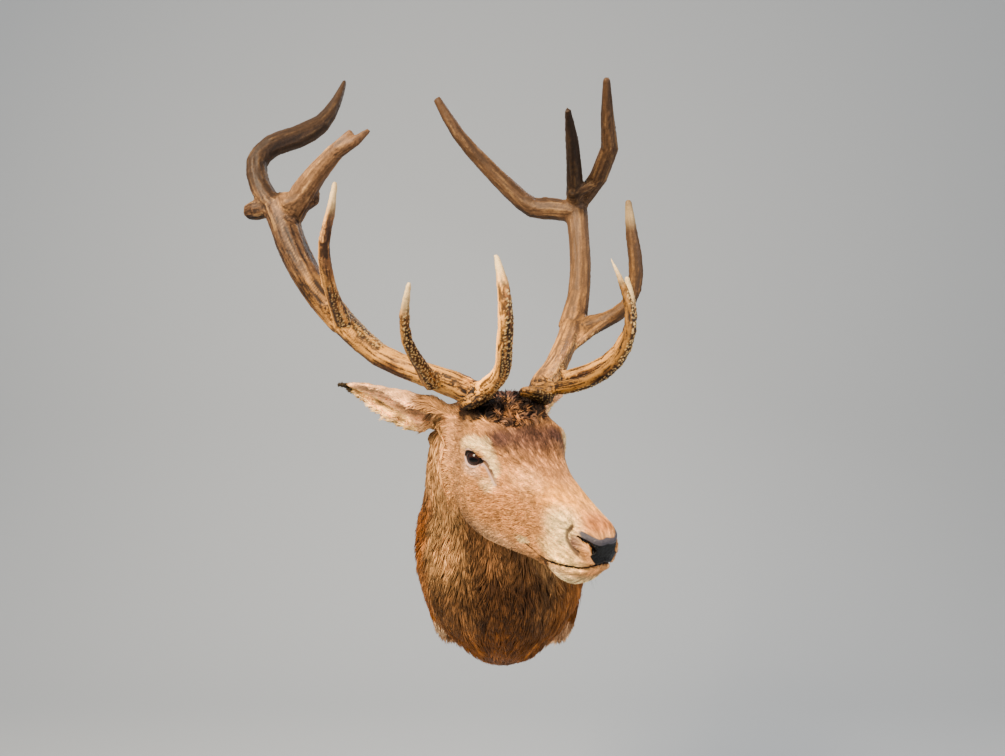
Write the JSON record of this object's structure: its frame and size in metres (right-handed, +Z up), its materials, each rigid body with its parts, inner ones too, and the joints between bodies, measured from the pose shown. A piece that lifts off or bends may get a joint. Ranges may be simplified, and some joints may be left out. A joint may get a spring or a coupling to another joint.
{
  "type": "red deer stag head mount",
  "caption": "Life-size taxidermy shoulder mount of a red deer stag with full antlers, head turned to its left, that hangs on a wall.",
  "frame": {"origin": "a point on the flat rear face of the back board, on its upright centre line and 144 mm below its top edge; this face lies against the wall", "axes": "+Y into the wall, so the mount stands out towards -Y; +Z up; +X to the viewer's right, which is the animal's left side"},
  "size_m": [0.7199, 0.6516, 1.176],
  "materials": {
    "hide": "tanned deer hide with the hair on: tan face, dark streaked neck, orange-brown sides, matt",
    "nose_skin": "black pebbled nose leather, glossy",
    "eye_glass": "dark brown painted glass eye, clear and glossy in front",
    "antler": "antler bone, dark brown in the grooves, paler on worn ridges, ivory at the tips",
    "plywood": "sawn birch plywood, bare",
    "steel": "zinc-plated sheet steel"
  },
  "bodies": {
    "root": {"antler_left_beam_lower": "antler", "antler_left_beam_upper": "antler", "antler_left_bez_tine": "antler", "antler_left_brow_tine": "antler", "antler_left_burr": "antler", "antler_left_palm": "antler", "antler_left_palm_point": "antler", "antler_left_top_tine": "antler", "antler_left_trez_tine": "antler", "antler_right_beam_lower": "antler", "antler_right_beam_upper": "antler", "antler_right_bez_tine": "antler", "antler_right_brow_tine": "antler", "antler_right_burr": "antler", "antler_right_inner_knob": "antler", "antler_right_palm": "antler", "antler_right_palm_point": "antler", "antler_right_rear_knob": "antler", "antler_right_top_tine": "antler", "antler_right_trez_tine": "antler", "back_board": "plywood", "chest": "hide", "ear_left": "hide", "ear_right": "hide", "eye_left": "eye_glass", "eye_right": "eye_glass", "hanger_plate": "steel", "head": "hide", "lower_jaw": "hide", "neck": "hide", "nose_pad": "nose_skin", "shoulder_left": "hide", "shoulder_right": "hide"}
  },
  "joints": []
}
